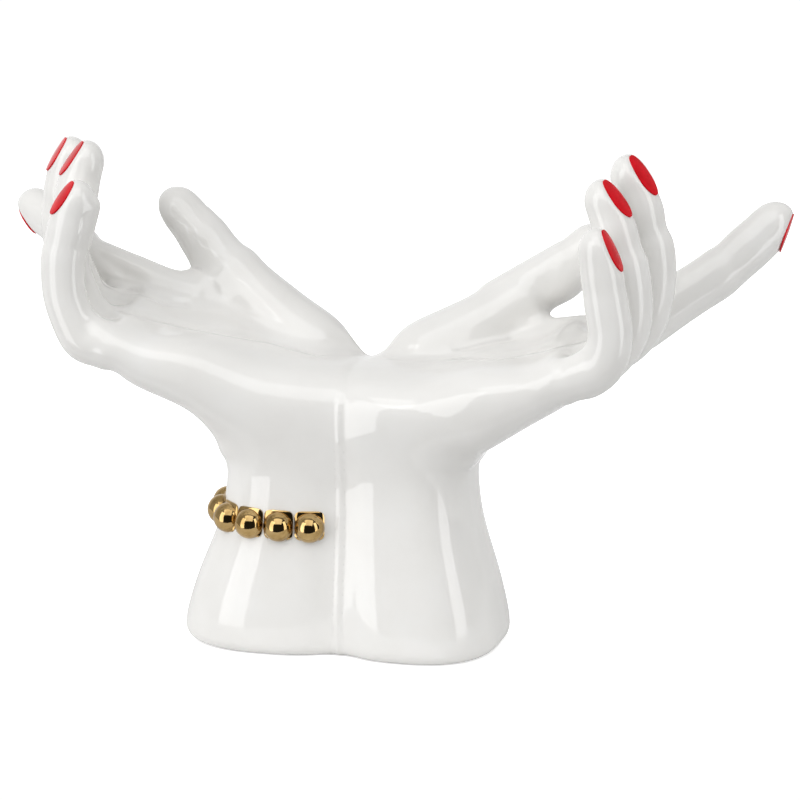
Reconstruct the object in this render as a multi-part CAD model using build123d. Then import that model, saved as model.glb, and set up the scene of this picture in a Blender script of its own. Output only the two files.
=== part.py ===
from build123d import *
from dataclasses import dataclass
from math import cos, pi, radians, sin, sqrt, tan
import os

# A pair of open ceramic hands joined at the wrists, palms up. Millimetres, +Z up. X runs across
# both hands and Y from the little-finger edge (front) to the thumb edge (back). The origin is on
# the table, under the seam where the two arm castings meet. Each hand is drawn on the +X side,
# and the left one, as seen from the front, is then mirrored. "Out" is a distance from the seam
# plane, a "rise" is an angle above level and a "swing" is an angle towards the back.

# Cast walls and slip joints
WALL = 5.0  # drain-cast wall of the arm shells
FLOOR = 5.0  # slab that closes each arm at the table
VENT_RADIUS = 4.0  # hole through the slab that lets air out in the kiln
SEAM_HALF_WIDTH = 0.9  # ridge of slip where the two castings are stuck together
SEAM_PROUD = 1.6  # above the valley between the arms
SEAM_END = 14.0  # below the saddle, where the ridge runs out
SEAM_STEPS = 8
CUT_SIZE = 800.0  # cutting boxes reach well past the whole object

# Arms, from the table to the wrist
FOOT_HALF_DEPTH = 42.0
WRIST_HALF_DEPTH = 33.0
WRIST_HEIGHT = 74.0
FOOT_EDGE = 5.0  # rounding where the arm meets the table
ARM_POWER = 2.5  # superellipse power of the arm's outline
ARM_CENTRE_SHARE = 0.74  # distance of the outline's centre from the seam, over its half size
ARM_LEVELS = 5  # outlines from the table to the wrist

# Palms, from the wrist to the knuckle joint
BEND_RADIUS = 18.0  # hollow under the hand, where arm turns into palm
SADDLE_RISE = 45.0  # dip between the heels of the two hands, above the wrist
HEEL_TILT = 30.0  # turn of an outline from level
BEND_TILT = 52.0
PALM_LENGTH = 46.0
PALM_CUP = 4.5  # hollow of the palm
BEND_CUP_SHARE = 0.3  # how much of that hollow, and of the roll, the wrist's bend has
HEEL_CUP_SHARE = 0.8
UPPER_CUP_SHARE = 0.8
KNUCKLE_CUP_SHARE = 0.3
MIDDLE_SHARE = 0.4  # outlines between the heel and the knuckles, as shares of the palm's length
UPPER_SHARE = 0.75
PALM_ROLL = 5.0  # the palm's index-finger edge is the higher one
PALM_HALF_THICK = 17.0
KNUCKLE_HALF_THICK = 11.2
KNUCKLE_TURN = 2.0  # the knuckle joint's turn beyond the palm's
KNUCKLE_SKEW = 9.0  # the knuckle line runs further out at the index finger
HEEL_HALF_WIDTH = 36.0
PALM_HALF_WIDTH = 40.0
PALM_POWER = 2.6
OUTLINE_POINTS = 16

# Fingers
FINGER_GAP = 0.6  # between neighbours at the knuckle joint
BEND_SHARE = 0.45  # part of the shorter bone taken by the bend at a joint
GIRTH_STEPS = 10
TIP_STEPS = 4
TIP_END = 0.25  # size of the last outline, which closes the tip, over a whole one
FINGER_GIRTH = ((0.0, 1.08), (0.3, 1.0), (0.6, 1.0), (1.0, 0.9))  # share of length, size
THUMB_GIRTH = ((0.0, 0.55), (0.2, 1.6), (0.5, 1.3), (0.75, 1.08), (1.0, 0.92))
THUMB_ROOT_OUT = 4.0  # where the thumb's centre line starts, inside the heel
THUMB_ROOT_INSET = 16.0  # from the heel's back edge
THUMB_ROOT_DEPTH = 9.0  # below the saddle

# Nails
NAIL_THICK = 1.5
NAIL_PROUD = 0.4
NAIL_RIM = 0.8  # bare ceramic left at each end of the nail's flat
NAIL_TIP_OFFSET = 2.2  # start of the nail's flat, from the finger's centre line
NAIL_HALF_WIDTH = 5.0

# Bracelet, on the left wrist
BRACELET_DROP = 17.0  # below the wrist
BEAD_RADIUS = 6.4
BEAD_GAP = 0.8
LINK_HALF_HEIGHT = 5.0
LINK_RISE = 0.8  # middle of the links above the middle of the beads
LINK_PROUD = 2.4
BRACELET_END = 4.0  # bare wrist between the bracelet and the seam


@dataclass
class Station:
    """One outline of an arm casting: its centre, turn from level, half sizes, hollows and turns."""

    out: float
    height: float
    tilt: float
    half_thick: float
    half_width: float
    power: float
    cup: float = 0.0
    edge: float = 0.0  # how far the index finger's corner stands up
    skew: float = 0.0
    roll: float = 0.0

    def plane(self):
        """Plane of the outline: x down through the palm, y towards the thumb, z along the hand."""
        tilt, skew = radians(self.tilt), radians(self.skew)
        along = Vector(sin(tilt), 0, cos(tilt)) * cos(skew) - Vector(0, 1, 0) * sin(skew)
        level = Plane((self.out, 0, self.height), x_dir=(cos(tilt), 0, -sin(tilt)), z_dir=along)
        return level.rotated((0, 0, self.roll))

    def face(self, grow=0.0):
        """Superellipse, hollowed on the palm's side and raised at the index finger's corner."""
        thick, width = self.half_thick + grow, self.half_width + grow
        points = []
        for step in range(OUTLINE_POINTS):
            c, s = cos(2 * pi * step / OUTLINE_POINTS), sin(2 * pi * step / OUTLINE_POINTS)
            x = thick * abs(c) ** (2 / self.power) * (1 if c > 0 else -1)
            y = width * abs(s) ** (2 / self.power) * (1 if s > 0 else -1)
            palm_side = ((1 - c) / 2) ** 2
            hollow = self.cup * (1 - (y / width) ** 2) - self.edge * ((1 + y / width) / 2) ** 2
            points.append((x + hollow * palm_side, y))
        return self.plane() * make_face(Spline(*points, periodic=True))


@dataclass
class Finger:
    """A finger: its root's lift, reach to the first bend, bones as (length, rise), swing and sizes."""

    name: str
    lift: float
    reach: float
    bones: tuple
    swing: float
    half_width: float
    half_thick: float
    nail_length: float
    nail_turn: float  # how far the nail is rolled towards the front


@dataclass
class Hand:
    side: str
    foot_reach: float
    wrist_reach: float
    palm_tilt: float
    palm_rise: float  # top of the palm's heel above the saddle
    palm_edge: float  # how far the index finger's edge of the palm stands up
    palm_hollow: float  # underside of the palm, from the centre of the bend at the wrist
    fingers: tuple
    thumb: Finger


LEFT = Hand(
    "left", foot_reach=76.0, wrist_reach=56.5,
    palm_tilt=73.0, palm_rise=19.0, palm_edge=11.0, palm_hollow=28.0,
    fingers=(
        Finger("little_finger", 0, 12, ((19, 67), (17, 88), (36, 104)), -2, 8.8, 9.6, 17, 30),
        Finger("ring_finger", 0, 13, ((30, 68), (17, 97), (39, 105)), 0, 9.2, 9.6, 18, 24),
        Finger("middle_finger", 1, 18, ((25, 63), (18, 82), (38, 99)), 0, 9.2, 9.7, 17, 24),
        Finger("index_finger", 5, 19, ((23, 47), (22, 29), (24, 15)), 32, 9.2, 10.4, 18, 30),
    ),
    thumb=Finger("thumb", 0, 0, ((47, 30), (33, 37), (48, 42)), 18, 10.4, 10.2, 20, 0),
)
RIGHT = Hand(
    "right", foot_reach=67.5, wrist_reach=53.5,
    palm_tilt=68.0, palm_rise=12.0, palm_edge=4.0, palm_hollow=20.0,
    fingers=(
        Finger("little_finger", 0, 17, ((14, 73), (29, 100), (18, 97)), -2, 8.8, 9.4, 19, 5),
        Finger("ring_finger", 0, 18, ((17, 66), (20, 94), (42, 109)), 0, 9.2, 9.6, 19, 15),
        Finger("middle_finger", 0, 22, ((18, 66), (19, 86), (47, 107)), 0, 9.2, 9.7, 20, 18),
        Finger("index_finger", 0, 17, ((27, 33), (21, 30), (40, 41)), 26, 9.2, 11.2, 18, 30),
    ),
    thumb=Finger("thumb", 0, 0, ((40, 27), (53, 30), (30, 47)), 19, 10.4, 10.2, 20, 0),
)


def arm_station(hand, height):
    """Outline of the arm at a height, flared towards the table like the end of a sleeve."""
    flare = cos(pi / 2 * height / WRIST_HEIGHT) ** 2
    reach = hand.wrist_reach + (hand.foot_reach - hand.wrist_reach) * flare
    depth = WRIST_HALF_DEPTH + (FOOT_HALF_DEPTH - WRIST_HALF_DEPTH) * flare
    half = reach / (1 + ARM_CENTRE_SHARE)
    return Station(half * ARM_CENTRE_SHARE, height, 0, half, depth, ARM_POWER)


def saddle_height():
    return WRIST_HEIGHT + SADDLE_RISE


def palm_stations(hand, short=0.0):
    """Outlines fanned round the bend of the wrist, then along the palm to the knuckle joint."""
    pivot_out, pivot_height = hand.wrist_reach + BEND_RADIUS, WRIST_HEIGHT

    def fan(tilt, top, hollow, half_width, share):
        c, s = cos(radians(tilt)), sin(radians(tilt))
        far = (top - pivot_height) / s
        middle = (hollow + far) / 2
        return Station(pivot_out - middle * c, pivot_height + middle * s, tilt, (far - hollow) / 2,
                       half_width, PALM_POWER, cup=PALM_CUP * share, roll=PALM_ROLL * share)

    def along(distance, half_thick, half_width, cup_share, share):
        c, s = cos(radians(hand.palm_tilt)), sin(radians(hand.palm_tilt))
        return Station(palm.out + distance * s, palm.height + distance * c,
                       hand.palm_tilt + KNUCKLE_TURN * share, half_thick, half_width, PALM_POWER,
                       PALM_CUP * cup_share, hand.palm_edge * share, KNUCKLE_SKEW * share, PALM_ROLL)

    palm_top = saddle_height() + hand.palm_rise
    bend_top, bend_hollow = saddle_height() + hand.palm_rise / 2, (BEND_RADIUS + hand.palm_hollow) / 2
    bend_width = (HEEL_HALF_WIDTH + PALM_HALF_WIDTH) / 2
    palm = fan(hand.palm_tilt, palm_top, hand.palm_hollow, PALM_HALF_WIDTH, HEEL_CUP_SHARE)
    upper_thick = (PALM_HALF_THICK + KNUCKLE_HALF_THICK) / 2
    return [
        fan(HEEL_TILT, saddle_height(), BEND_RADIUS, HEEL_HALF_WIDTH, 0),
        fan(BEND_TILT, bend_top, bend_hollow, bend_width, BEND_CUP_SHARE),
        palm,
        along(PALM_LENGTH * MIDDLE_SHARE, PALM_HALF_THICK, PALM_HALF_WIDTH, 1, MIDDLE_SHARE),
        along(PALM_LENGTH * UPPER_SHARE, upper_thick, PALM_HALF_WIDTH, UPPER_CUP_SHARE, UPPER_SHARE),
        along(PALM_LENGTH - short, KNUCKLE_HALF_THICK, knuckle_half_width(hand), KNUCKLE_CUP_SHARE, 1),
    ]


def knuckle_half_width(hand):
    """Half the row of finger roots."""
    root = FINGER_GIRTH[0][1]
    widths = sum(2 * root * finger.half_width for finger in hand.fingers)
    return (widths + FINGER_GAP * (len(hand.fingers) - 1)) / 2


def beside_seam(distance=0.0):
    """Everything on the +X side of the seam plane, from a distance on."""
    beside = (Align.MIN, Align.CENTER, Align.CENTER)
    return Pos(distance, 0, 0) * Box(CUT_SIZE, CUT_SIZE, CUT_SIZE, align=beside)


def arm_stations(hand):
    return [arm_station(hand, WRIST_HEIGHT * level / ARM_LEVELS) for level in range(ARM_LEVELS + 1)]


def arm_body(hand):
    """Outside of a forearm and palm, solid, cut at the seam and rounded at the table."""
    stations = arm_stations(hand) + palm_stations(hand)
    body = loft([station.face() for station in stations]) & beside_seam()
    rim = body.edges().group_by(Axis.Z)[0].filter_by(lambda edge: edge.center().X > FOOT_EDGE)
    return fillet(rim, FOOT_EDGE)


def arm_cavity(hand):
    """Hollow of the casting, open at the table, with a wall left along the seam."""
    stations = arm_stations(hand) + palm_stations(hand, short=WALL)
    return loft([station.face(-WALL) for station in stations]) & beside_seam(WALL)


def centre_line(finger, root, start):
    """Centre line of a finger: straight bones with a round bend at each joint."""
    swing = radians(finger.swing)
    points = [root]
    if finger.reach:
        points.append(root + start * finger.reach)
    for length, rise in finger.bones:
        level = length * cos(radians(rise))
        step = Vector(level * cos(swing), level * sin(swing), length * sin(radians(rise)))
        points.append(points[-1] + step)
    radii = []
    for before, corner, after in zip(points, points[1:], points[2:]):
        turn = radians((corner - before).get_angle(after - corner))
        shorter = min((corner - before).length, (after - corner).length)
        radii.append(BEND_SHARE * shorter / tan(turn / 2))
    return FilletPolyline(*points, radius=radii)


def girth_at(girths, share):
    """Size of a finger at a share of its length, between the listed ones."""
    for (start, small), (end, large) in zip(girths, girths[1:]):
        if share <= end:
            return small + (large - small) * (share - start) / (end - start)


def side_of(finger):
    """Level direction across a finger, towards the back."""
    return Vector(-sin(radians(finger.swing)), cos(radians(finger.swing)), 0)


def finger_body(finger, line, girths):
    """Loft of ellipses along a centre line, with a rounded tip."""
    tip = finger.half_thick / line.length
    shares = [(1 - tip) * step / GIRTH_STEPS for step in range(GIRTH_STEPS + 1)]
    sizes = [1.0] * len(shares)
    for step in range(1, TIP_STEPS + 1):
        size = 1 - (1 - TIP_END) * (step / TIP_STEPS) ** 2
        shares.append(1 - tip + tip * sqrt(1 - size ** 2) / sqrt(1 - TIP_END ** 2))
        sizes.append(size)
    faces = []
    for share, size in zip(shares, sizes):
        along = line % share
        across = Plane(line @ share, x_dir=side_of(finger).cross(along), z_dir=along)
        size = size * girth_at(girths, share)
        faces.append(across * Ellipse(finger.half_thick * size, finger.half_width * size))
    return loft(faces)


def nail_plane(finger, line):
    """Plane of the flat under a nail, with x towards the finger's root and z out of the flat."""
    along = line % 1
    turn = radians(finger.nail_turn)
    side = side_of(finger)
    back = side.cross(along).normalized() * cos(turn) - side * sin(turn)
    flat = finger.nail_length + 2 * NAIL_RIM
    fall = (finger.half_thick - NAIL_TIP_OFFSET) / flat
    run = (back * fall - along * sqrt(1 - fall ** 2)).normalized()
    start = line @ 1 + back * NAIL_TIP_OFFSET
    across = back.cross(along).normalized()
    return Plane(start + run * flat / 2, x_dir=run, z_dir=across.cross(run))


def nail_plate(finger, plane, thick, sink):
    """Almond-shaped plate on the nail's flat, sunk below it by a depth."""
    outline = Ellipse(finger.nail_length / 2, NAIL_HALF_WIDTH)
    return plane * (Pos(0, 0, -sink) * extrude(outline, thick))


def finished_finger(finger, line, girths):
    """A finger with its flat cut and pocketed for the nail, and the nail that fills it."""
    plane = nail_plane(finger, line)
    reach = 2 * finger.nail_length
    above_flat = plane * Box(reach, reach, reach, align=(Align.CENTER, Align.CENTER, Align.MIN))
    nail = nail_plate(finger, plane, NAIL_THICK, NAIL_THICK - NAIL_PROUD)
    return finger_body(finger, line, girths) - above_flat - nail, nail


def base_slab(hand, cavity):
    """Slab stuck into the open end of an arm, with its vent."""
    slab = cavity & (Pos(0, 0, FLOOR / 2) * Box(CUT_SIZE, CUT_SIZE, FLOOR))
    return slab - Pos(arm_station(hand, 0).out, 0, FLOOR / 2) * Cylinder(VENT_RADIUS, 2 * FLOOR)


def hand_parts(hand, body):
    """Casting, slab, fingers and nails of one hand, on the +X side."""
    cavity = arm_cavity(hand)
    parts = {"arm_casting": body - cavity, "base_slab": base_slab(hand, cavity)}
    knuckles = palm_stations(hand)[-1].plane()
    place = -knuckle_half_width(hand)
    for finger in hand.fingers:
        half = FINGER_GIRTH[0][1] * finger.half_width
        root = knuckles.origin + knuckles.y_dir * (place + half) - knuckles.x_dir * finger.lift
        line = centre_line(finger, root, knuckles.z_dir)
        place += 2 * half + FINGER_GAP
        parts[finger.name], parts[f"{finger.name}_nail"] = finished_finger(finger, line, FINGER_GIRTH)
    root = Vector(THUMB_ROOT_OUT, HEEL_HALF_WIDTH - THUMB_ROOT_INSET, saddle_height() - THUMB_ROOT_DEPTH)
    line = centre_line(hand.thumb, root, None)
    thumb, parts["thumb_nail"] = finished_finger(hand.thumb, line, THUMB_GIRTH)
    parts["thumb"] = thumb - body
    return parts


def bracelet(hand, body):
    """Beads round the wrist from seam to seam, and the links between them."""
    height = WRIST_HEIGHT - BRACELET_DROP
    wrist = body & (Pos(0, 0, height) * Box(CUT_SIZE, CUT_SIZE, 4 * BEAD_RADIUS))
    outline = arm_station(hand, height).face() & beside_seam()
    path = Wire(outline.edges().filter_by(GeomType.LINE, reverse=True))
    pitch = 2 * BEAD_RADIUS + BEAD_GAP
    count = int((path.length - 2 * BRACELET_END) // pitch)
    first = (path.length - pitch * (count - 1)) / 2
    beads = []
    for index in range(count):
        centre = path.position_at(first + index * pitch, position_mode=PositionMode.LENGTH)
        beads.append(Pos(centre) * Sphere(BEAD_RADIUS))
    middle = height + LINK_RISE
    rings = [arm_station(hand, middle + end * LINK_HALF_HEIGHT).face(LINK_PROUD) for end in (-1, 1)]
    links = (loft(rings) & beside_seam(BRACELET_END)) - [wrist, *beads]
    return Compound([bead - wrist for bead in beads]), links


def luting_seam(bodies):
    """Ridges of slip down the front and back of the joint between the two castings."""
    joint = bodies[0].faces().filter_by(Plane.YZ).sort_by(SortBy.AREA)[-1]
    low, high = FOOT_EDGE, saddle_height() - SEAM_END
    ridges = []
    for back in (-1, 1):
        crest = []
        for step in range(SEAM_STEPS + 1):
            height = low + (high - low) * step / SEAM_STEPS
            depth = (joint & Edge.make_line((0, 0, height), (0, back * CUT_SIZE, height))).length
            crest.append((back * (depth + SEAM_PROUD), height))
        inside = Polyline(crest[-1], (0, high), (0, low), crest[0])
        plate = Plane.YZ * make_face([Spline(*crest), inside])
        ridges.append(extrude(plate, SEAM_HALF_WIDTH, both=True) - bodies)
    return Compound(ridges)


def mirrored(shape):
    return mirror(shape, about=Plane.YZ)


def main():
    os.makedirs("parts", exist_ok=True)
    left_body, right_body = arm_body(LEFT), arm_body(RIGHT)
    parts = {f"right_{name}": shape for name, shape in hand_parts(RIGHT, right_body).items()}
    for name, shape in hand_parts(LEFT, left_body).items():
        parts[f"left_{name}"] = mirrored(shape)
    beads, links = bracelet(LEFT, left_body)
    parts["bracelet_beads"] = mirrored(beads)
    parts["bracelet_links"] = mirrored(links)
    parts["luting_seam"] = luting_seam([right_body, mirrored(left_body)])
    for name, shape in parts.items():
        export_step(shape, f"parts/{name}.step")


main()
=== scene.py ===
"""Looks of a pair of open ceramic hands.

One glazed skin runs over castings, fingers and thumbs. The nails are enamelled and the bracelet is gilt.
"""
from math import cos, dist, exp, pi, radians, sin, sqrt
from typing import NamedTuple

import bmesh
import bpy
import numpy as np
import openvdb
from mathutils import Matrix, Vector, noise
from mathutils.bvhtree import BVHTree
from mathutils.kdtree import KDTree


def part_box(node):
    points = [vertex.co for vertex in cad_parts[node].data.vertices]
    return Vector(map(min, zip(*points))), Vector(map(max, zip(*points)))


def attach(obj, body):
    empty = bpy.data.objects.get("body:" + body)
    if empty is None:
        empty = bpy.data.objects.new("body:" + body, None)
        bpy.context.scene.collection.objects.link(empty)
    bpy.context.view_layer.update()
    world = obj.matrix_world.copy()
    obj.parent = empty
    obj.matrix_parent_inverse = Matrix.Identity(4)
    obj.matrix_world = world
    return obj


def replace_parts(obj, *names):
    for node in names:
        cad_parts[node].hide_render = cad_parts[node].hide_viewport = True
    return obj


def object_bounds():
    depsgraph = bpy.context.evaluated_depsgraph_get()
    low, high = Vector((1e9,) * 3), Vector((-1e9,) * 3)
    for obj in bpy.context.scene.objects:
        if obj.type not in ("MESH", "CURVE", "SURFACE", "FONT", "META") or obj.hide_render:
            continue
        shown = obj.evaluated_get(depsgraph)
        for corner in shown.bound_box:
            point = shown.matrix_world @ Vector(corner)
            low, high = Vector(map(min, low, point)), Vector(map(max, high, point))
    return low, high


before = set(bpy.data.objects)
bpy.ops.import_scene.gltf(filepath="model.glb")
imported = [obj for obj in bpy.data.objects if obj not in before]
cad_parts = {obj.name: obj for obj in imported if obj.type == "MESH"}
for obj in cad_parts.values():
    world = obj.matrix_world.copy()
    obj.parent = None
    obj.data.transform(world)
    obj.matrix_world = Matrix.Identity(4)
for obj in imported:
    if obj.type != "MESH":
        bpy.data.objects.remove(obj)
CAD_BOX = [list(corner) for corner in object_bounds()]

SIDES = ("left", "right")
FINGERS = ("little_finger", "ring_finger", "middle_finger", "index_finger")
DIGITS = FINGERS + ("thumb",)
MM = 0.001
TOUCHING = 1e-5  # metres between points that count as one, or as on the table

# Camera of the photograph: pixels are those of its 800 x 800 frame
PHOTO = 800
PIXEL = 0.445 * MM  # size of a pixel at the origin's distance
ORIGIN_PIXEL = (357, 632)
AZIMUTH = radians(13)
ELEVATION = radians(14)
DISTANCE = 1.3
SENSOR = 36.0

# Skin, in millimetres
VOXEL = 1.0
BAND = 12.0  # how far from a surface its distance is known
MARGIN = 6.0
BELL_REACH = 2.5  # how far a bell curve is followed, in its widths
FINGER_BLEND = 0.6  # between two fingers
LINE_DEPTH = 0.9  # of the line between them
LINE_WIDTH = 1.0
ROOT_BLEND = 6.0  # between fingers and palm
THUMB_BLEND = 10.0
SEAM_BLEND = 12.0
LEAST_BLEND = 0.05  # share of a blend that is left where two surfaces run along each other
WEB_RADIUS = 9.0  # of the fillets at the finger roots
WEB_REACH = 20.0
WEB_INWARD = 7.0  # from the knuckles' undersides to the hollow of the hand
WEB_UP = 22.0
SPONGE = 5.0  # blur where the skin was rubbed smooth
SPONGE_REACH = 15.0
SEAM_PROUD = 1.1
SEAM_WIDTH = 1.2
SEAM_TOP = 122.0
SEAM_FADE = 12.0
SOFTEN = 1.1  # blur of the whole skin
FAIRING = 4  # rounds of smoothing of the mesh
FAIR_SHARES = (0.5, -0.53)  # of the way to the middle of a point's neighbours, there and back
SLAB_SPARE = 1.0  # how far the skin reaches into the rim of a base slab
WAVE = 0.10  # unevenness of the hand-finished surface
WAVE_LENGTH = 22.0
FOOT_CALM = 4.0  # height over which the unevenness grows from the table
SKIN_SHARP = radians(55)  # edges that turn by more stay sharp

# Nails, in millimetres
NAIL_PROUD = 0.4  # of the solid nail, above the flat that it lies on
ENAMEL_PROUD = 0.2  # of the plate's rim
NAIL_DOME = 0.35
NAIL_SUNK = 0.35
NAIL_RINGS = 10
NAIL_CROWDING = 3  # of the rings towards the rim
POCKET_DEPTH = 3.0
POCKET_SPARE = 0.3
PLATE_SIDES = 64
PLATE_SHARP = radians(50)

# Bracelet, in millimetres
BEAD_RADIUS = 6.6
BEAD_FINENESS = 5
BALL_FITS = 4  # rounds of fitting a ball to a bead's solid
BALL_KEPT = 80  # percent of the points that a round keeps for the next
BALL_NEAR = 0.02  # points as near to the ball as this are always kept
TABLET_HALF_WIDTH = 6.5
TABLET_HALF_HEIGHT = 6.4
TABLET_LIFT = 0.8  # above the bead's middle
TABLET_SQUARENESS = 5.0
TABLET_PROUD = 1.1
TABLET_SUNK = 2.5
TABLET_RINGS = 8
TABLET_CROWDING = 2
TABLET_BEVEL = 0.5  # share of its height that the rim loses
TABLET_BEVEL_POWER = 6


class Crease(NamedTuple):
    """Line pressed into the skin: depth and width in millimetres, and the pixels that it passes."""
    depth: float
    width: float
    pixels: tuple


LEFT_PALM_CREASE = Crease(0.9, 3.6, (
    (93, 306), (123, 309), (152, 317), (188, 326), (214, 331), (245, 336), (275, 341), (319, 354)))
LEFT_UPPER_FOLD = Crease(1.0, 3.0, ((102, 256), (125, 274), (150, 284)))
LEFT_MIDDLE_FOLD = Crease(1.0, 3.0, ((99, 282), (145, 282), (188, 291)))
LEFT_LOWER_FOLD = Crease(0.9, 3.0, ((130, 287), (167, 302), (186, 303)))
RIGHT_PALM_CREASE = Crease(0.9, 3.6, ((393, 355), (460, 356), (501, 357), (526, 352), (576, 341)))
RIGHT_FOLD = Crease(0.7, 3.0, ((458, 348), (484, 342), (509, 338)))
CREASES = (
    LEFT_PALM_CREASE, LEFT_UPPER_FOLD, LEFT_MIDDLE_FOLD, LEFT_LOWER_FOLD, RIGHT_PALM_CREASE, RIGHT_FOLD)
CREASE_STEP = 2  # pixels from one point of a crease to the next
CREASE_SPAN = 3  # how far from its line a crease reaches, in its widths


class Spot(NamedTuple):
    """Place in a hand: the pixel that shows it, and its depth along Y in millimetres."""
    pixel: tuple
    depth: float


class Roll(NamedTuple):
    """Clay that thickens a hand: its two ends, their radii and the blend, in millimetres."""
    start: Spot
    stop: Spot
    radii: tuple
    blend: float


LEFT_THUMB_CLAY = Roll(Spot((198, 225), 47.0), Spot((238, 281), 39.0), radii=(9.5, 12.5), blend=14.0)
RIGHT_THUMB_CLAY = Roll(Spot((500, 306), 41.0), Spot((566, 263), 47.0), radii=(12.0, 10.0), blend=12.0)
LEFT_NOTCH_CLAY = Roll(Spot((341, 341), 24.0), Spot((359, 365), 22.0), radii=(5.0, 5.0), blend=8.0)
RIGHT_NOTCH_CLAY = Roll(Spot((372, 369), 22.0), Spot((392, 359), 22.0), radii=(5.0, 5.0), blend=8.0)
PALM_EDGE_CLAY = Roll(Spot((537, 332), 31.0), Spot((582, 326), 31.0), radii=(5.5, 5.0), blend=8.0)
FINGERTIP_CLAY = Roll(Spot((87, 206), -30.0), Spot((82, 244), -30.0), radii=(6.0, 4.0), blend=7.0)
CLAY = (LEFT_THUMB_CLAY, RIGHT_THUMB_CLAY, LEFT_NOTCH_CLAY, RIGHT_NOTCH_CLAY, PALM_EDGE_CLAY, FINGERTIP_CLAY)
FOREFINGER_CLAY = Roll(Spot((95, 255), 31.0), Spot((190, 297), 27.0), radii=(7.5, 8.5), blend=10.0)

LEFT_THUMB_MIDDLE = Spot((204, 247), 43.0)
LEFT_THUMB_ROOT = Spot((228, 291), 29.0)
RIGHT_FOREFINGER_JOINT = Spot((748, 262), 50.0)
RIGHT_PALM_CORNER = Spot((572, 349), 0.0)
RUBBED_SMOOTH = (LEFT_THUMB_MIDDLE, LEFT_THUMB_ROOT, RIGHT_FOREFINGER_JOINT, RIGHT_PALM_CORNER)

# Finishes: places of an uneven pattern, each with its colour
GLAZE_TONES = ((0.25, (0.822, 0.812, 0.788)), (0.55, (0.848, 0.840, 0.818)), (0.8, (0.862, 0.857, 0.842)))
GLAZE_IOR = 1.52
CREASE_SHADE_COLOUR = (0.42, 0.41, 0.40, 1)  # painted shade: grey that the glaze's colour takes in a sharp crease
CREASE_SHADE_FULL = 0.43  # pointiness of a crease that takes the full painted shade
# pointiness from which on the glaze gets no painted shade
CREASE_SHADE_NONE = 0.485
ENAMEL_TONES = ((0.3, (0.56, 0.003, 0.009)), (0.6, (0.70, 0.005, 0.014)), (0.8, (0.75, 0.008, 0.018)))
ENAMEL_SPECULAR = 0.07
GOLD_TONES = ((0.28, (0.28, 0.175, 0.06)), (0.5, (0.43, 0.29, 0.12)), (0.75, (0.53, 0.375, 0.18)))
BISCUIT_TONES = ((0.3, (0.66, 0.62, 0.55)), (0.7, (0.79, 0.76, 0.70)))

# Studio, in metres
WHITE = (1, 1, 1, 1)
FLOOR_COLOUR = (0.86, 0.86, 0.86, 1)
FLOOR_ROUGHNESS = 0.9
FLOOR_SPECULAR = 0.1
FLOOR_GLOW = 0.55  # white that the table has of itself under the object
GLOW_START = 0.05  # distance from the origin where that begins to grow to 1
GLOW_STOP = 0.25
FLOOR_MIRRORED = 0.2  # share of it that mirrors need to show the lit table white
TABLE_WIDTH = 1.6
TABLE_FRONT = 0.14  # beyond it is the dark part of the room
TABLE_BACK = 1.2
DARK_SIDE = AZIMUTH + radians(20)
ROOM_GREYS = ((0.0, 0.52), (0.4, 0.52), (0.55, 0.44), (0.66, 0.16), (0.78, 0.03))  # towards the dark side
BACKDROP = (1.05, 1.05, 1.05, 1)
BACKDROP_START = -0.65  # how far from the dark side mirrors begin to show the backdrop, as a cosine
BACKDROP_FULL = -0.98


class Softbox(NamedTuple):
    """Area lamp that faces the object: angles from the camera's direction, then metres and watts."""
    name: str
    turn: float
    rise: float
    distance: float
    width: float
    height: float
    power: float


LEFT_SOFTBOX = Softbox(
    "left_softbox", turn=radians(-54), rise=radians(10), distance=1.3, width=0.70, height=1.7, power=9.8)
RIGHT_SOFTBOX = Softbox(
    "right_softbox", turn=radians(54), rise=radians(10), distance=1.3, width=0.48, height=1.7, power=7.3)
TOP_SOFTBOX = Softbox(
    "top_softbox", turn=radians(-6), rise=radians(54), distance=1.4, width=1.6, height=1.2, power=11.2)


def view_axes():
    """Right, forward and up of the photograph's camera."""
    right = Vector((cos(AZIMUTH), sin(AZIMUTH), 0))
    forward = Vector((-sin(AZIMUTH) * cos(ELEVATION), cos(AZIMUTH) * cos(ELEVATION), -sin(ELEVATION)))
    return right, forward, right.cross(forward)


def camera_place():
    right, forward, up = view_axes()
    middle = PHOTO / 2
    target = right * (middle - ORIGIN_PIXEL[0]) * PIXEL + up * (ORIGIN_PIXEL[1] - middle) * PIXEL
    return target - forward * DISTANCE


def photo_ray(pixel):
    """Start and direction of the camera's ray through a pixel."""
    right, forward, up = view_axes()
    middle = PHOTO / 2
    aside = right * (pixel[0] - middle) * PIXEL + up * (middle - pixel[1]) * PIXEL
    return camera_place(), (forward * DISTANCE + aside).normalized()


def photo_point(spot):
    """Place of a spot in millimetres, where its pixel's ray meets a plane of constant Y."""
    start, direction = photo_ray(spot.pixel)
    return np.array((start + direction * ((spot.depth * MM - start.y) / direction.y)) / MM)


def add_camera():
    right, forward, up = view_axes()
    data = bpy.data.cameras.new("photo_camera")
    data.sensor_width = SENSOR
    data.lens = SENSOR * DISTANCE / (PIXEL * PHOTO)
    camera = bpy.data.objects.new("photo_camera", data)
    bpy.context.scene.collection.objects.link(camera)
    camera.matrix_world = Matrix.LocRotScale(
        camera_place(), Matrix((right, up, -forward)).transposed(), None)
    bpy.context.scene.camera = camera


def add_object(name, mesh, material):
    """Links a mesh as a piece of the object, with its finish."""
    piece = bpy.data.objects.new(name, mesh)
    bpy.context.scene.collection.objects.link(piece)
    mesh.materials.clear()
    mesh.materials.append(material)
    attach(piece, "root")
    return piece


# Materials


def new_material(name):
    material = bpy.data.materials.new(name)
    material.use_nodes = True
    nodes = material.node_tree.nodes
    return material, nodes, material.node_tree.links, nodes["Principled BSDF"]


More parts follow.
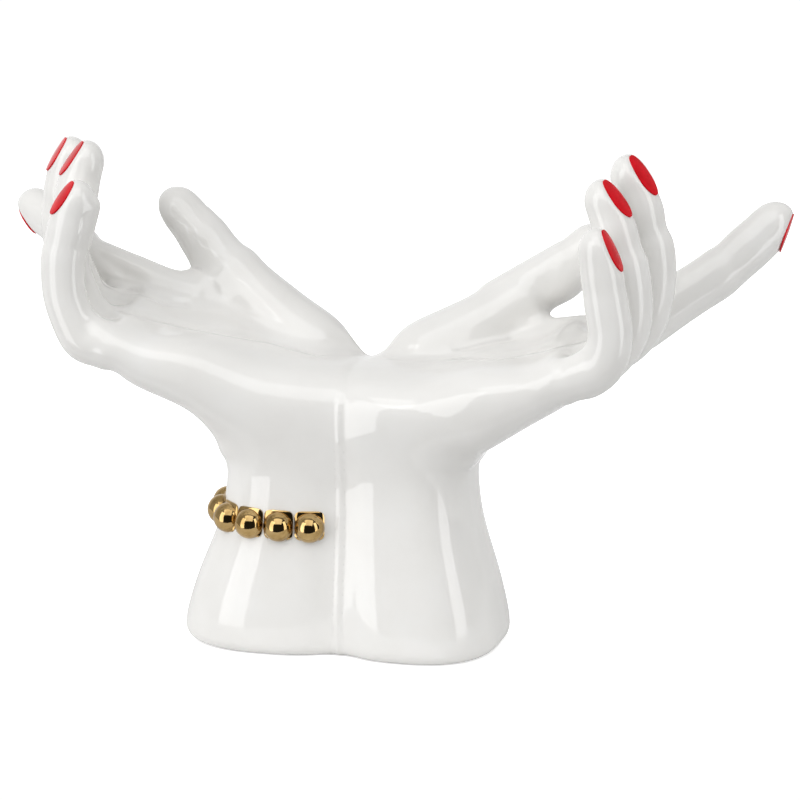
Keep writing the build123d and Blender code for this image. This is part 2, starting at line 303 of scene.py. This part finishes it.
def noise_node(nodes, links, scale, detail=2.0, roughness=0.5):
    """Noise in object space, with a scale per metre."""
    place = nodes.new("ShaderNodeTexCoord")
    texture = nodes.new("ShaderNodeTexNoise")
    texture.inputs["Scale"].default_value = scale
    texture.inputs["Detail"].default_value = detail
    texture.inputs["Roughness"].default_value = roughness
    links.new(place.outputs["Object"], texture.inputs["Vector"])
    return texture.outputs["Fac"]


def ramp_node(nodes, links, factor, stops):
    """Colours at places of a factor."""
    ramp = nodes.new("ShaderNodeValToRGB")
    elements = ramp.color_ramp.elements
    while len(elements) < len(stops):
        elements.new(0.5)
    for element, (place, colour) in zip(elements, stops):
        element.position = place
        element.color = (*colour, 1)
    links.new(factor, ramp.inputs["Fac"])
    return ramp.outputs["Color"]


def range_node(nodes, links, value, low, high, start=0.0, stop=1.0):
    """A value between start and stop, mapped to a range."""
    mapped = nodes.new("ShaderNodeMapRange")
    mapped.inputs["From Min"].default_value = start
    mapped.inputs["From Max"].default_value = stop
    mapped.inputs["To Min"].default_value = low
    mapped.inputs["To Max"].default_value = high
    links.new(value, mapped.inputs["Value"])
    return mapped.outputs["Result"]


def math_node(nodes, links, operation, first, second):
    """Two values combined, kept between 0 and 1."""
    combined = nodes.new("ShaderNodeMath")
    combined.operation = operation
    combined.use_clamp = True
    links.new(first, combined.inputs[0])
    links.new(second, combined.inputs[1])
    return combined.outputs["Value"]


def mix_node(nodes, links, factor, varied, plain):
    """A varied colour that gives way to a plain one as a factor grows."""
    mix = nodes.new("ShaderNodeMix")
    mix.data_type = "RGBA"
    links.new(factor, mix.inputs["Factor"])
    links.new(varied, mix.inputs["A"])
    mix.inputs["B"].default_value = plain
    return mix.outputs["Result"]


def bump_node(nodes, links, height, strength, distance):
    bump = nodes.new("ShaderNodeBump")
    bump.inputs["Strength"].default_value = strength
    bump.inputs["Distance"].default_value = distance
    links.new(height, bump.inputs["Height"])
    return bump.outputs["Normal"]


def glaze_material():
    """Warm white high-gloss glaze, a little uneven in tone and thickness, with painted shade that greys it
    in sharp creases.
    """
    material, nodes, links, shader = new_material("white_glaze")
    tone = noise_node(nodes, links, scale=34.0, detail=4.0, roughness=0.6)
    colour = ramp_node(nodes, links, tone, GLAZE_TONES)
    # painted shade: the colour turns grey where the pointiness shows a sharp crease
    hollow = nodes.new("ShaderNodeNewGeometry").outputs["Pointiness"]
    crease_shade = range_node(nodes, links, hollow, 1.0, 0.0, start=CREASE_SHADE_FULL, stop=CREASE_SHADE_NONE)
    links.new(mix_node(nodes, links, crease_shade, colour, CREASE_SHADE_COLOUR), shader.inputs["Base Color"])
    gloss = noise_node(nodes, links, scale=90.0, detail=3.0)
    links.new(range_node(nodes, links, gloss, low=0.03, high=0.07), shader.inputs["Roughness"])
    shader.inputs["IOR"].default_value = GLAZE_IOR
    ripple = noise_node(nodes, links, scale=130.0, detail=1.0)
    links.new(bump_node(nodes, links, ripple, strength=0.12, distance=0.0004), shader.inputs["Normal"])
    return material


def enamel_material():
    """Glossy red enamel, laid on with a brush."""
    material, nodes, links, shader = new_material("red_enamel")
    tone = noise_node(nodes, links, scale=160.0, detail=3.0)
    links.new(ramp_node(nodes, links, tone, ENAMEL_TONES), shader.inputs["Base Color"])
    shader.inputs["Specular IOR Level"].default_value = ENAMEL_SPECULAR
    gloss = noise_node(nodes, links, scale=400.0, detail=2.0)
    links.new(range_node(nodes, links, gloss, low=0.06, high=0.14), shader.inputs["Roughness"])
    links.new(bump_node(nodes, links, gloss, strength=0.08, distance=0.0003), shader.inputs["Normal"])
    return material


def gold_material():
    """Mirror gold lustre, thinner and browner in places."""
    material, nodes, links, shader = new_material("gold_lustre")
    tone = noise_node(nodes, links, scale=150.0, detail=5.0, roughness=0.62)
    links.new(ramp_node(nodes, links, tone, GOLD_TONES), shader.inputs["Base Color"])
    shader.inputs["Metallic"].default_value = 1.0
    gloss = noise_node(nodes, links, scale=320.0, detail=3.0)
    links.new(range_node(nodes, links, gloss, low=0.04, high=0.12), shader.inputs["Roughness"])
    links.new(bump_node(nodes, links, gloss, strength=0.10, distance=0.0003), shader.inputs["Normal"])
    return material


def biscuit_material():
    """Unglazed ceramic of the slabs that close the base."""
    material, nodes, links, shader = new_material("bare_ceramic")
    grain = noise_node(nodes, links, scale=900.0, detail=6.0, roughness=0.7)
    links.new(ramp_node(nodes, links, grain, BISCUIT_TONES), shader.inputs["Base Color"])
    links.new(range_node(nodes, links, grain, low=0.75, high=0.95), shader.inputs["Roughness"])
    links.new(bump_node(nodes, links, grain, strength=0.35, distance=0.0005), shader.inputs["Normal"])
    return material


# Skin: fields of signed distance in millimetres, on one grid of voxels


LOW = np.floor((np.array(CAD_BOX[0]) / MM - MARGIN) / VOXEL).astype(int)
HIGH = np.ceil((np.array(CAD_BOX[1]) / MM + MARGIN) / VOXEL).astype(int)
SHAPE = tuple(HIGH - LOW)
GRID = openvdb.createLinearTransform(voxelSize=VOXEL)
EVERYWHERE = (slice(None),) * 3


def axis_places(axis, block=slice(None)):
    """Coordinates of the voxels along one axis, shaped to combine with the others."""
    places = (np.arange(SHAPE[axis], dtype=np.float32) + LOW[axis]) * VOXEL
    shape = [1, 1, 1]
    shape[axis] = -1
    return places[block].reshape(shape)


def offsets_from(place, block):
    """Coordinates of a block's voxels, axis by axis, as seen from a place."""
    return [axis_places(axis, block[axis]) - place[axis] for axis in range(3)]


def block_round(low, high, spare):
    """Slices of the voxels in a box and round it."""
    start = np.clip(np.floor((np.array(low) - spare) / VOXEL).astype(int) - LOW, 0, SHAPE)
    stop = np.clip(np.ceil((np.array(high) + spare) / VOXEL).astype(int) + 1 - LOW, 0, SHAPE)
    return tuple(slice(a, b) for a, b in zip(start, stop))


def polygons(mesh):
    """Points in millimetres and triangles of a mesh."""
    mesh.calc_loop_triangles()
    points = np.empty(len(mesh.vertices) * 3, np.float32)
    mesh.vertices.foreach_get("co", points)
    triangles = np.empty(len(mesh.loop_triangles) * 3, np.int32)
    mesh.loop_triangles.foreach_get("vertices", triangles)
    return points.reshape(-1, 3) / MM, triangles.reshape(-1, 3).astype(np.uint32)


def outside_polygons(name):
    """A hollow casting's outside alone, closed at the table."""
    solid = bmesh.new()
    solid.from_mesh(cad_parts[name].data)
    bmesh.ops.remove_doubles(solid, verts=solid.verts, dist=TOUCHING)
    reach = max(solid.verts, key=lambda vert: abs(vert.co.x))
    outside, edge = {reach}, [reach]
    while edge:
        beside = {link.other_vert(vert) for vert in edge for link in vert.link_edges}
        edge = [vert for vert in beside - outside if vert.co.z > TOUCHING]
        outside.update(edge)
    inside = [face for face in solid.faces if outside.isdisjoint(face.verts)]
    bmesh.ops.delete(solid, geom=inside, context="FACES")
    bmesh.ops.holes_fill(solid, edges=[link for link in solid.edges if link.is_boundary])
    mesh = bpy.data.meshes.new(f"{name}_outside")
    solid.to_mesh(mesh)
    solid.free()
    shape = polygons(mesh)
    bpy.data.meshes.remove(mesh)
    return shape


def distance_field(points, **faces):
    """Distance to a closed surface over the whole grid, known within the band."""
    grid = openvdb.FloatGrid.createLevelSetFromPolygons(
        points, transform=GRID, halfWidth=BAND / VOXEL, **faces)
    field = np.empty(SHAPE, np.float32)
    grid.copyToArray(field, ijk=tuple(int(start) for start in LOW))
    return field


def solid_field(points, triangles):
    return distance_field(points, triangles=triangles)


def field_mesh(field, level):
    """Points and quads where a field has a level."""
    grid = openvdb.FloatGrid(BAND)
    grid.copyFromArray(field.astype(np.float32), ijk=tuple(int(start) for start in LOW))
    grid.transform = GRID
    return grid.convertToQuads(level)


def near_surface(field):
    """Share that is 1 up to a quarter of the band from a surface, and 0 from half of it on."""
    return np.clip(2 - 4 * field / BAND, 0, 1)


def merge(field, other, width, block):
    """Joins another shape to a field, with a fillet where the two surfaces turn from each other."""
    a, b = field[block], other[block]
    agree = sum(ga * gb for ga, gb in zip(np.gradient(a, VOXEL), np.gradient(b, VOXEL)))
    reach = width * np.clip(1 - agree, LEAST_BLEND, 1)
    least = np.minimum(a, b)
    near = np.clip(1 - np.abs(a - b) / reach, 0, None) * near_surface(least)
    field[block] = least - near * near * reach / 4


def blurred(field, size):
    """Gaussian blur, axis by axis."""
    reach = int(np.ceil(BELL_REACH * size / VOXEL))
    steps = np.arange(-reach, reach + 1)
    weights = np.exp(-0.5 * (steps * VOXEL / size) ** 2)
    weights = (weights / weights.sum()).astype(np.float32)
    for axis, count in enumerate(field.shape):
        padded = np.pad(field, [(reach, reach) if a == axis else (0, 0) for a in range(3)], mode="edge")
        field = sum(weight * np.take(padded, range(first, first + count), axis)
                    for first, weight in enumerate(weights))
    return field


def share_round(places, reach):
    """Share that is 1 at some places and falls to 0 at a reach from them."""
    share = np.zeros(SHAPE, np.float32)
    for place in places:
        block = block_round(place, place, BELL_REACH * reach)
        square = sum(offset ** 2 for offset in offsets_from(place, block))
        share[block] = np.maximum(share[block], np.exp(-(square / reach ** 2) ** 2))
    return share


class NailFrame:
    """Place of a nail: its centre on the flat, long axis, across axis and outward normal, in millimetres."""

    def __init__(self, node, digit):
        points, _ = polygons(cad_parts[node].data)
        digit_points, _ = polygons(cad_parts[digit].data)
        spread = np.linalg.svd(points - points.mean(0), full_matrices=False)[2]
        self.along, self.across, self.out = (Vector(axis.tolist()) for axis in spread)
        if self.out.dot(Vector((digit_points.mean(0) - points.mean(0)).tolist())) > 0:
            self.out.negate()
        local = points @ np.array([self.along, self.across, self.out]).T
        low, high = local.min(0), local.max(0)
        centre = (low + high) / 2
        self.half_length, self.half_width = (high - low)[:2] / 2
        flat = high[2] - NAIL_PROUD
        self.centre = self.along * float(centre[0]) + self.across * float(centre[1]) + self.out * float(flat)

    def fill_pocket(self, field):
        """Closes the pocket under the nail, so that the fingertip ends in a plain flat."""
        reach = float(self.half_length) + POCKET_DEPTH
        centre = np.array(self.centre)
        block = block_round(centre - reach, centre + reach, 0)
        offsets = offsets_from(centre, block)
        u, v, w = (sum(offset * direction[axis] for axis, offset in enumerate(offsets))
                   for direction in (self.along, self.across, self.out))
        rim = np.sqrt((u / self.half_length) ** 2 + (v / self.half_width) ** 2) - 1
        plug = np.maximum(np.maximum(rim * self.half_width - POCKET_SPARE, w), -w - POCKET_DEPTH)
        field[block] = np.minimum(field[block], plug)


def lay_clay(field, roll):
    """Thickens a place with a roll of clay between two ends."""
    start, stop = photo_point(roll.start), photo_point(roll.stop)
    radius, end_radius = roll.radii
    block = block_round(np.minimum(start, stop), np.maximum(start, stop), max(roll.radii) + BAND)
    offsets = offsets_from(start, block)
    run = stop - start
    share = np.clip(sum(offset * run[axis] for axis, offset in enumerate(offsets)) / (run @ run), 0, 1)
    square = sum((offset - share * run[axis]) ** 2 for axis, offset in enumerate(offsets))
    clay = np.full(SHAPE, BAND, np.float32)
    clay[block] = np.minimum(np.sqrt(square) - radius - share * (end_radius - radius), BAND)
    merge(field, clay, roll.blend, block)


def webbed(field, roots):
    """Fills the narrow hollows round the finger roots, as slip does when a cast is dressed."""
    points, quads = field_mesh(field, WEB_RADIUS)
    closed = distance_field(points, quads=quads) + WEB_RADIUS
    return field + share_round(roots, WEB_REACH) * np.minimum(closed - field, 0)


def sponged(field, places):
    """Rubs some places smooth, as a wet sponge does, without thinning them."""
    soft = blurred(field, SPONGE)
    soft = 2 * soft - blurred(soft, SPONGE)
    return field + share_round(places, SPONGE_REACH) * (soft - field)


def ridged(field):
    """Raises the seam where the two castings are luted together."""
    ridge = SEAM_PROUD * np.exp(-(axis_places(0) / SEAM_WIDTH) ** 2)
    return field - ridge * np.clip((SEAM_TOP - axis_places(2)) / SEAM_FADE, 0, 1)


def digit_field(node, nail):
    """Distance to a finger or thumb, and the voxels round it."""
    field = solid_field(*polygons(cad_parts[node].data))
    nail.fill_pocket(field)
    low, high = (np.array(corner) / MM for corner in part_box(node))
    return field, block_round(low, high, BAND)


def fingers_field(side, nails):
    """Distance to the four fingers of a hand, with a line where one lies against the next."""
    fingers = np.full(SHAPE, BAND, np.float32)
    for name in FINGERS:
        node = f"{side}_{name}"
        finger, block = digit_field(node, nails[node])
        line = LINE_DEPTH * np.exp(-((fingers[block] - finger[block]) / LINE_WIDTH) ** 2)
        merge(fingers, finger, FINGER_BLEND, block)
        fingers[block] += line * near_surface(fingers[block])
    return fingers


def web_places(node, nail):
    """Where a finger's root is webbed: at its knuckle and in the hollow of the hand."""
    points, _ = polygons(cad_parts[node].data)
    knuckle = points[np.argmax(np.linalg.norm(points - np.array(nail.centre), axis=1))]
    return knuckle, knuckle + (-np.sign(knuckle[0]) * WEB_INWARD, 0, WEB_UP)


def skin_field(nails):
    """Distance to both hands, with fingers, thumbs and palms run together under the glaze."""
    hands, roots = [], []
    for side in SIDES:
        hand = solid_field(*outside_polygons(f"{side}_arm_casting"))
        merge(hand, fingers_field(side, nails), ROOT_BLEND, EVERYWHERE)
        hands.append(hand)
        for name in FINGERS:
            roots += web_places(f"{side}_{name}", nails[f"{side}_{name}"])
    skin, right = hands
    low, high = (np.array(corner) / MM for corner in CAD_BOX)
    merge(skin, right, SEAM_BLEND, block_round((0, low[1], 0), (0, high[1], high[2]), BAND))
    skin = np.minimum(skin, right)
    lay_clay(skin, FOREFINGER_CLAY)
    skin = webbed(skin, roots)
    for side in SIDES:
        node = f"{side}_thumb"
        thumb, block = digit_field(node, nails[node])
        merge(skin, thumb, THUMB_BLEND, block)
    for roll in CLAY:
        lay_clay(skin, roll)
    return sponged(skin, [photo_point(spot) for spot in RUBBED_SMOOTH])


def faired(points, quads):
    """Smooths a mesh without shrinking it."""
    pairs = np.concatenate([quads[:, [a, (a + 1) % 4]] for a in range(4)]).astype(np.int64)
    pairs = np.unique(np.sort(pairs, axis=1), axis=0)
    count = np.bincount(pairs.ravel(), minlength=len(points))[:, None]
    for share in FAIR_SHARES * FAIRING:
        total = np.empty_like(points)
        for axis in range(3):
            total[:, axis] = np.bincount(pairs[:, 0], points[pairs[:, 1], axis], len(points))
            total[:, axis] += np.bincount(pairs[:, 1], points[pairs[:, 0], axis], len(points))
        points = points + share * (total / count - points)
    return points


def turned_outwards(mesh):
    """Makes the faces of a closed mesh look outwards."""
    solid = bmesh.new()
    solid.from_mesh(mesh)
    bmesh.ops.recalc_face_normals(solid, faces=solid.faces)
    solid.to_mesh(mesh)
    solid.free()


def skin_mesh(field):
    """Mesh of the skin, standing flat on the table, with room for the base slabs."""
    field = np.maximum(ridged(blurred(field, SOFTEN)), -axis_places(2))
    for side in SIDES:
        slab = solid_field(*polygons(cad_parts[f"{side}_base_slab"].data))
        field = np.maximum(field, -slab - SLAB_SPARE)
    points, quads = field_mesh(field, 0.0)
    points = faired(points.astype(np.float64), quads)
    points[:, 2] = np.maximum(points[:, 2], 0)
    mesh = bpy.data.meshes.new("hands_skin")
    mesh.from_pydata((points * MM).tolist(), [], quads.astype(int).tolist())
    turned_outwards(mesh)
    return mesh


def crease_points(tree):
    """Places on the skin along the creases seen in the photograph, each with its depth and width."""
    places = []
    for crease in CREASES:
        for start, stop in zip(crease.pixels, crease.pixels[1:]):
            count = int(dist(start, stop) / CREASE_STEP) + 1
            for step in range(count):
                pixel = [a + (b - a) * step / count for a, b in zip(start, stop)]
                hit = tree.ray_cast(*photo_ray(pixel))[0]
                if hit is not None:
                    places.append((hit, crease.depth, crease.width))
    return places


def dress(mesh, tree):
    """Presses the creases into the skin and leaves it as uneven as a hand-finished casting."""
    count = len(mesh.vertices)
    places, normals = np.empty(count * 3, np.float32), np.empty(count * 3, np.float32)
    mesh.vertices.foreach_get("co", places)
    mesh.vertex_normals.foreach_get("vector", normals)
    places, normals = places.reshape(-1, 3), normals.reshape(-1, 3)
    heights = np.array([noise.noise(Vector(place) / (WAVE_LENGTH * MM)) for place in places.tolist()])
    heights *= WAVE * np.clip(places[:, 2] / (FOOT_CALM * MM), 0, 1)
    creases = crease_points(tree)
    lines = KDTree(len(creases))
    for number, (hit, _, _) in enumerate(creases):
        lines.insert(hit, number)
    lines.balance()
    for number, place in enumerate(places.tolist()):
        _, nearest, distance = lines.find(place)
        _, depth, width = creases[nearest]
        if distance < CREASE_SPAN * width * MM:
            heights[number] -= depth * exp(-(distance / (width * MM)) ** 2)
    places += normals * (heights * MM)[:, None].astype(np.float32)
    mesh.vertices.foreach_set("co", places.ravel())
    mesh.update()


def half_of(mesh, side):
    """The part of the skin on one side of the seam plane, closed there."""
    solid = bmesh.new()
    solid.from_mesh(mesh)
    geometry = [*solid.verts, *solid.edges, *solid.faces]
    away = -1 if side == "right" else 1
    bmesh.ops.bisect_plane(solid, geom=geometry, plane_co=(0, 0, 0), plane_no=(away, 0, 0), clear_outer=True)
    bmesh.ops.holes_fill(solid, edges=[edge for edge in solid.edges if edge.is_boundary])
    half = bpy.data.meshes.new(f"{side}_hand")
    solid.to_mesh(half)
    solid.free()
    half.shade_smooth()
    half.set_sharp_from_angle(angle=SKIN_SHARP)
    return half


def add_hands(mesh, material):
    for side in SIDES:
        piece = add_object(f"{side}_hand", half_of(mesh, side), material)
        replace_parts(piece, f"{side}_arm_casting", "luting_seam", *(f"{side}_{name}" for name in DIGITS))


# Nails


def ring_shares(count, crowding):
    """Shares of the way from a plate's rim to its middle, closer together towards the rim."""
    return [(ring / count) ** crowding for ring in range(count + 1)]


def plate_mesh(name, rings, place):
    """Closed plate of rings from its underside to its middle, each with a size and a height.

    The place of a point follows from its ring's size, its turn round the plate and its height.
    """
    verts, faces = [], []
    for size, height in rings[:-1]:
        verts += [place(size, 2 * pi * step / PLATE_SIDES, height) for step in range(PLATE_SIDES)]
    verts.append(place(0, 0, rings[-1][1]))
    for ring in range(len(rings) - 2):
        row = ring * PLATE_SIDES
        for step in range(PLATE_SIDES):
            after = (step + 1) % PLATE_SIDES
            faces.append((row + step, row + after, row + PLATE_SIDES + after, row + PLATE_SIDES + step))
    last = (len(rings) - 2) * PLATE_SIDES
    faces += [(last + step, last + (step + 1) % PLATE_SIDES, len(verts) - 1) for step in range(PLATE_SIDES)]
    faces.append(tuple(reversed(range(PLATE_SIDES))))
    mesh = bpy.data.meshes.new(name)
    mesh.from_pydata([tuple(vert) for vert in verts], [], faces)
    turned_outwards(mesh)
    mesh.shade_smooth()
    mesh.set_sharp_from_angle(angle=PLATE_SHARP)
    return mesh


def nail_mesh(nail, name):
    """Domed almond plate, sunk a little into the flat of the fingertip."""
    def place(size, turn, height):
        along = nail.along * float(nail.half_length) * size * cos(turn)
        across = nail.across * float(nail.half_width) * size * sin(turn)
        return (nail.centre + along + across + nail.out * height) * MM

    rings = [(1, -NAIL_SUNK)]
    for share in ring_shares(NAIL_RINGS, NAIL_CROWDING):
        rings.append((1 - share, ENAMEL_PROUD + NAIL_DOME * (1 - (1 - share) ** 2)))
    return plate_mesh(name, rings, place)


def add_nails(nails, material):
    for digit, nail in nails.items():
        name = f"{digit}_enamel"
        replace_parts(add_object(name, nail_mesh(nail, name), material), f"{digit}_nail")


# Bracelet


def ball_centre(points):
    """Middle of the ball that fits most of some points."""
    for _ in range(BALL_FITS):
        square = (points ** 2).sum(1)
        answer = np.linalg.lstsq(np.c_[2 * points, np.ones(len(points))], square, rcond=None)[0]
        radius = sqrt(answer[3] + answer[:3] @ answer[:3])
        miss = np.abs(np.linalg.norm(points - answer[:3], axis=1) - radius)
        points = points[miss <= max(np.percentile(miss, BALL_KEPT), BALL_NEAR)]
    return Vector(answer[:3].tolist())


def bead_centres():
    """Centres in millimetres of the beads' solids, which are one node."""
    solid = bmesh.new()
    solid.from_mesh(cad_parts["bracelet_beads"].data)
    bmesh.ops.remove_doubles(solid, verts=solid.verts, dist=TOUCHING)
    solid.verts.index_update()
    seen, centres = set(), []
    for first in solid.verts:
        if first in seen:
            continue
        island = edge = {first}
        while edge:
            edge = {link.other_vert(vert) for vert in edge for link in vert.link_edges} - island
            island = island | edge
        seen |= island
        verts = sorted(island, key=lambda vert: vert.index)
        centres.append(ball_centre(np.array([vert.co for vert in verts]) / MM))
    solid.free()
    return sorted(centres, key=lambda centre: centre.y)


def bead_mesh(centres):
    solid = bmesh.new()
    for centre in centres:
        ball = bmesh.ops.create_icosphere(solid, subdivisions=BEAD_FINENESS, radius=BEAD_RADIUS * MM)
        bmesh.ops.translate(solid, verts=ball["verts"], vec=centre * MM)
    mesh = bpy.data.meshes.new("beads")
    solid.to_mesh(mesh)
    solid.free()
    mesh.shade_smooth()
    return mesh


def tablet_mesh(name, centre, tree):
    """Rounded square plate that lies on the wrist behind a bead."""
    foot, out = tree.find_nearest(centre * MM)[:2]
    along = Vector((0, 0, 1)).cross(out).normalized()
    up = out.cross(along)
    power = TABLET_SQUARENESS

    def place(size, turn, height):
        corner = (abs(cos(turn)) ** power + abs(sin(turn)) ** power) ** (-1 / power)
        across = along * cos(turn) * corner * size * TABLET_HALF_WIDTH
        above = up * (sin(turn) * corner * size * TABLET_HALF_HEIGHT + TABLET_LIFT)
        spot, normal = tree.find_nearest(foot + (across + above) * MM)[:2]
        return spot + normal * height * MM

    rings = [(1, -TABLET_SUNK)]
    for share in ring_shares(TABLET_RINGS, TABLET_CROWDING):
        rings.append((1 - share, TABLET_PROUD * (1 - TABLET_BEVEL * (1 - share) ** TABLET_BEVEL_POWER)))
    return plate_mesh(name, rings, place)


def add_bracelet(tree, material):
    centres = bead_centres()
    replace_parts(add_object("beads", bead_mesh(centres), material), "bracelet_beads")
    for number, centre in enumerate(centres):
        name = f"tablet_{number}"
        tablet = add_object(name, tablet_mesh(name, centre, tree), material)
        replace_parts(tablet, "bracelet_links")


def finish_slabs(material):
    for side in SIDES:
        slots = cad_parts[f"{side}_base_slab"].data.materials
        slots.clear()
        slots.append(material)


# Studio


def mirrored_rays(nodes, links, path):
    """1 for a ray that a glossy or clear surface sends on, otherwise 0."""
    return math_node(nodes, links, "ADD", path["Is Glossy Ray"], path["Is Transmission Ray"])


def add_floor():
    """Pale table that fades to white round the object, so that only a soft shadow stays."""
    bpy.ops.mesh.primitive_plane_add(size=1)
    floor = bpy.context.object
    floor.name = "floor"
    floor.data.transform(Matrix.Diagonal((TABLE_WIDTH, TABLE_BACK + TABLE_FRONT, 1, 1)))
    floor.data.transform(Matrix.Translation((0, (TABLE_BACK - TABLE_FRONT) / 2, 0)))
    material, nodes, links, shader = new_material("pale_floor")
    shader.inputs["Base Color"].default_value = FLOOR_COLOUR
    shader.inputs["Roughness"].default_value = FLOOR_ROUGHNESS
    shader.inputs["Specular IOR Level"].default_value = FLOOR_SPECULAR
    place = nodes.new("ShaderNodeTexCoord")
    length = nodes.new("ShaderNodeVectorMath")
    length.operation = "LENGTH"
    links.new(place.outputs["Object"], length.inputs[0])
    glow = range_node(nodes, links, length.outputs["Value"], FLOOR_GLOW, 1.0, GLOW_START, GLOW_STOP)
    path = nodes.new("ShaderNodeLightPath").outputs
    mirrored = range_node(nodes, links, mirrored_rays(nodes, links, path), 0.0, FLOOR_MIRRORED)
    seen = math_node(nodes, links, "ADD", path["Is Camera Ray"], mirrored)
    links.new(math_node(nodes, links, "MULTIPLY", glow, seen), shader.inputs["Emission Strength"])
    shader.inputs["Emission Color"].default_value = WHITE
    floor.data.materials.append(material)


def add_world():
    """White backdrop, also in what mirrors it; round the object a grey room, dark on the camera's side."""
    world = bpy.data.worlds.new("studio")
    bpy.context.scene.world = world
    world.use_nodes = True
    nodes, links = world.node_tree.nodes, world.node_tree.links
    place = nodes.new("ShaderNodeTexCoord")
    facing = nodes.new("ShaderNodeVectorMath")
    facing.operation = "DOT_PRODUCT"
    links.new(place.outputs["Generated"], facing.inputs[0])
    facing.inputs[1].default_value = (sin(DARK_SIDE), -cos(DARK_SIDE), 0)
    cosine = facing.outputs["Value"]
    share = range_node(nodes, links, cosine, 0.0, 1.0, start=-1.0, stop=1.0)
    room = ramp_node(nodes, links, share, [(stop, (level,) * 3) for stop, level in ROOM_GREYS])
    path = nodes.new("ShaderNodeLightPath").outputs
    behind = range_node(nodes, links, cosine, 0.0, 1.0, start=BACKDROP_START, stop=BACKDROP_FULL)
    mirrored = math_node(nodes, links, "MULTIPLY", mirrored_rays(nodes, links, path), behind)
    seen = math_node(nodes, links, "ADD", path["Is Camera Ray"], mirrored)
    links.new(mix_node(nodes, links, seen, room, BACKDROP), nodes["Background"].inputs["Color"])


def add_softbox(box):
    data = bpy.data.lights.new(box.name, "AREA")
    data.shape = "RECTANGLE"
    data.size, data.size_y = box.width, box.height
    data.energy = box.power
    lamp = bpy.data.objects.new(box.name, data)
    bpy.context.scene.collection.objects.link(lamp)
    heading = AZIMUTH + box.turn
    away = Vector((sin(heading) * cos(box.rise), -cos(heading) * cos(box.rise), sin(box.rise)))
    middle = Vector((0, 0, CAD_BOX[1][2] / 2))
    lamp.location = middle + away * box.distance
    lamp.rotation_euler = away.to_track_quat("Z", "Y").to_euler()


def main():
    bpy.context.scene.view_settings.view_transform = "Standard"
    nails = {f"{side}_{name}": NailFrame(f"{side}_{name}_nail", f"{side}_{name}")
             for side in SIDES for name in DIGITS}
    mesh = skin_mesh(skin_field(nails))
    tree = BVHTree.FromPolygons(
        [vert.co for vert in mesh.vertices], [face.vertices for face in mesh.polygons])
    dress(mesh, tree)
    add_hands(mesh, glaze_material())
    add_nails(nails, enamel_material())
    add_bracelet(tree, gold_material())
    finish_slabs(biscuit_material())
    add_camera()
    add_floor()
    add_world()
    for box in (LEFT_SOFTBOX, RIGHT_SOFTBOX, TOP_SOFTBOX):
        add_softbox(box)
    bpy.context.view_layer.update()


main()
